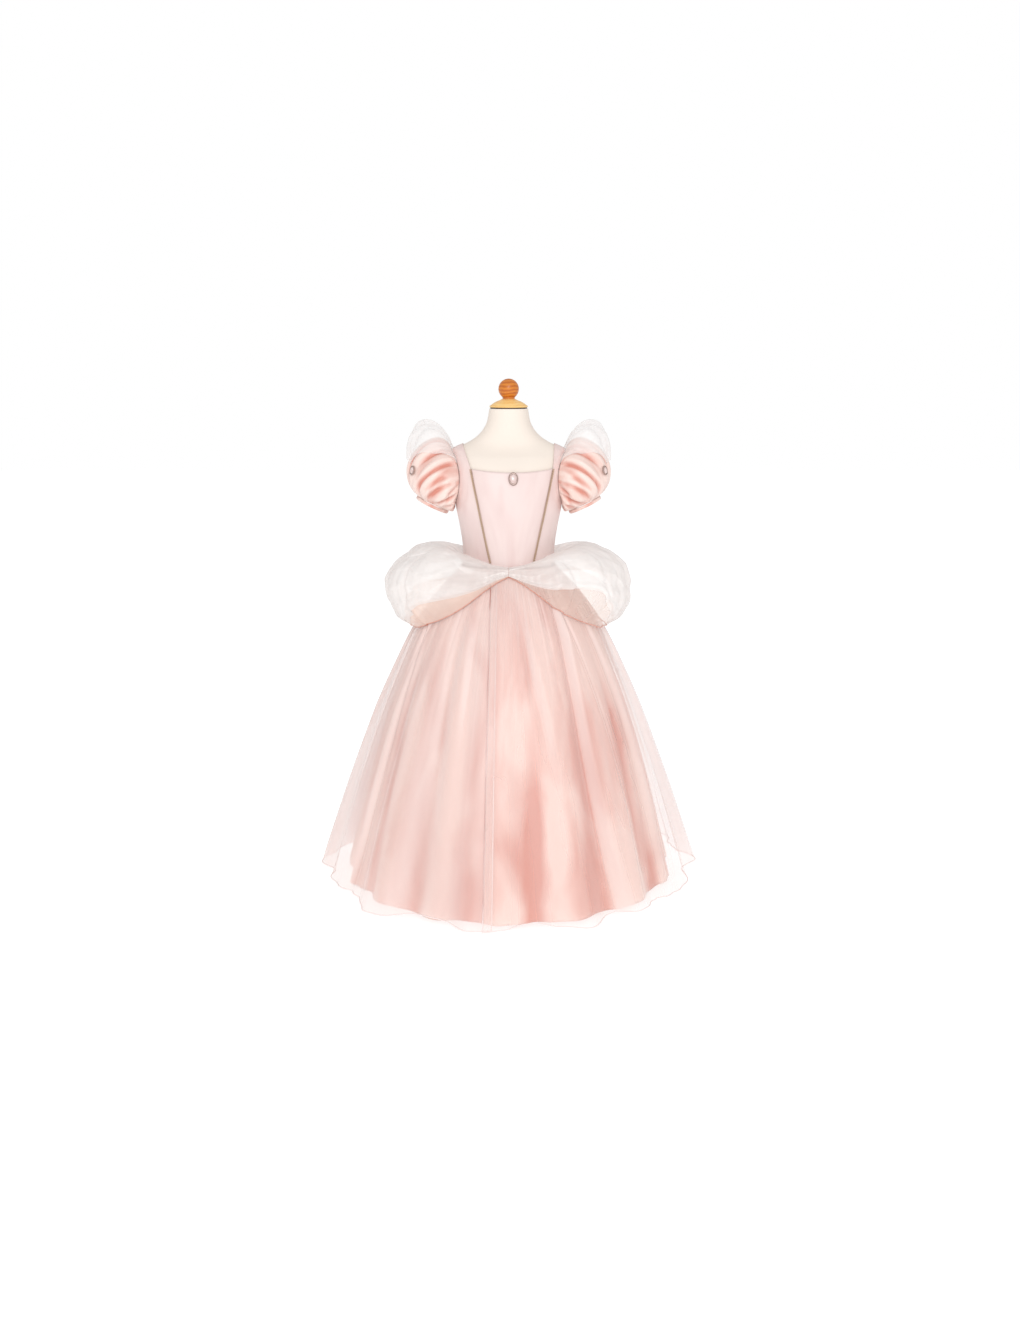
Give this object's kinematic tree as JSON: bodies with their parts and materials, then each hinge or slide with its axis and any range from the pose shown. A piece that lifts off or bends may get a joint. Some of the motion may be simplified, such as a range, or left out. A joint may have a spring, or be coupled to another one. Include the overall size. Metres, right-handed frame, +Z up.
{
  "type": "child's princess costume dress on a dress form stand",
  "caption": "Child's ball gown with puffed sleeves, hip panniers and a sheer lapped overskirt, worn by a limbless dress form on a round stand.",
  "frame": {"origin": "centre of the stand's flat underside, on the floor", "axes": "+Z up, the dress faces -Y, the wearer's left is +X"},
  "size_m": [0.769, 0.7981, 0.9873],
  "materials": {
    "jersey": "matte cream knit",
    "maple": "clear varnish",
    "cherry_wood": "gloss varnish",
    "steel": "brushed",
    "bodice_satin": "pale pink satin",
    "skirt_satin": "peach satin",
    "organza": "sheer pale pink",
    "white_organza": "sheer white",
    "sleeve_satin": "gathered pink satin",
    "gold_braid": "metallic gold thread",
    "pewter": "antique silver",
    "pearl": "pearl gloss"
  },
  "bodies": {
    "root": {"form_base": "maple", "form_pole": "steel", "form_torso": "jersey", "form_neck_cap": "maple", "form_finial_ball": "cherry_wood", "bodice_centre_front": "bodice_satin", "bodice_side_front_left": "bodice_satin", "bodice_side_front_right": "bodice_satin", "bodice_back_left": "bodice_satin", "bodice_back_right": "bodice_satin", "back_placket": "bodice_satin", "gold_braid_left": "gold_braid", "gold_braid_right": "gold_braid", "underskirt_front": "skirt_satin", "underskirt_back": "skirt_satin", "overskirt_left": "organza", "overskirt_right": "organza", "pannier_left": "white_organza", "pannier_right": "white_organza", "sleeve_puff_left": "sleeve_satin", "sleeve_puff_right": "sleeve_satin", "cuff_band_left": "sleeve_satin", "cuff_band_right": "sleeve_satin", "sleeve_crest_left": "white_organza", "sleeve_crest_right": "white_organza", "brooch_front_setting": "pewter", "brooch_front_stone": "pearl", "brooch_sleeve_left_setting": "pewter", "brooch_sleeve_left_stone": "pearl", "brooch_sleeve_right_setting": "pewter", "brooch_sleeve_right_stone": "pearl"}
  },
  "joints": []
}
